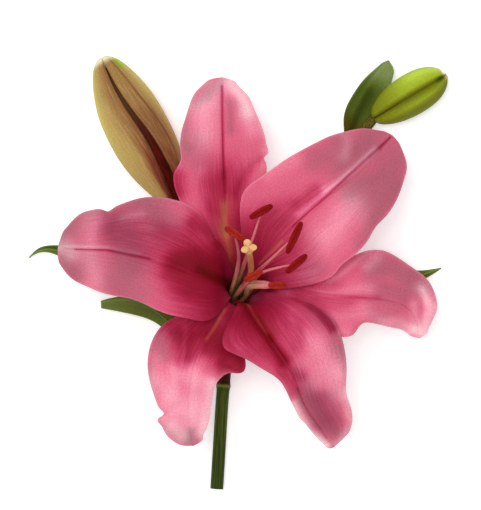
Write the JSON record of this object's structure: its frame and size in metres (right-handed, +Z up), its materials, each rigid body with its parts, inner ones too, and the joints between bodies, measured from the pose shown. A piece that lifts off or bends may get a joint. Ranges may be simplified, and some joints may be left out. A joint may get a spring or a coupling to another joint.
{
  "type": "cut lily",
  "caption": "Cut lily spray laid on its back: an open six-tepal flower with stamens and pistil facing up, two closed buds on stalks, leaves and a plain cut stem.",
  "frame": {"origin": "centre of the spray's box in plan, on the surface it lies on", "axes": "+Z up from the surface, the way the open flower faces; +Y from the stem's cut end towards the buds; +X from the left leaf's tip towards the small bud"},
  "size_m": [0.1918, 0.1982, 0.0784],
  "materials": {
    "tepal": "satin",
    "anther": "matte",
    "filament": "satin",
    "pistil": "satin",
    "stem": "satin",
    "stalk": "satin",
    "leaf": "satin",
    "large_bud_skin": "satin",
    "large_bud_heart": "matte",
    "small_bud_skin": "satin",
    "small_bud_heart": "matte"
  },
  "bodies": {
    "root": {"stem": "stem", "flower_stalk": "stalk", "large_bud_stalk": "stalk", "small_bud_stalk": "stalk", "tepal_outer_top": "tepal", "tepal_inner_upper_right": "tepal", "tepal_outer_right": "tepal", "tepal_inner_lower_right": "tepal", "tepal_outer_lower_left": "tepal", "tepal_inner_left": "tepal", "filament_outer_top": "filament", "filament_inner_upper_right": "filament", "filament_outer_right": "filament", "filament_inner_lower_right": "filament", "filament_outer_lower_left": "filament", "filament_inner_left": "filament", "anther_outer_top": "anther", "anther_inner_upper_right": "anther", "anther_outer_right": "anther", "anther_inner_lower_right": "anther", "anther_outer_lower_left": "anther", "anther_inner_left": "anther", "pistil": "pistil", "large_bud_tepal_left": "large_bud_skin", "large_bud_tepal_right": "large_bud_skin", "large_bud_tepal_under": "large_bud_skin", "large_bud_inner_tepals": "large_bud_heart", "small_bud_tepal_left": "small_bud_skin", "small_bud_tepal_right": "small_bud_skin", "small_bud_tepal_under": "small_bud_skin", "small_bud_inner_tepals": "small_bud_heart", "leaf_left": "leaf", "leaf_lower_left": "leaf", "leaf_right": "leaf", "bract": "leaf"}
  },
  "joints": []
}
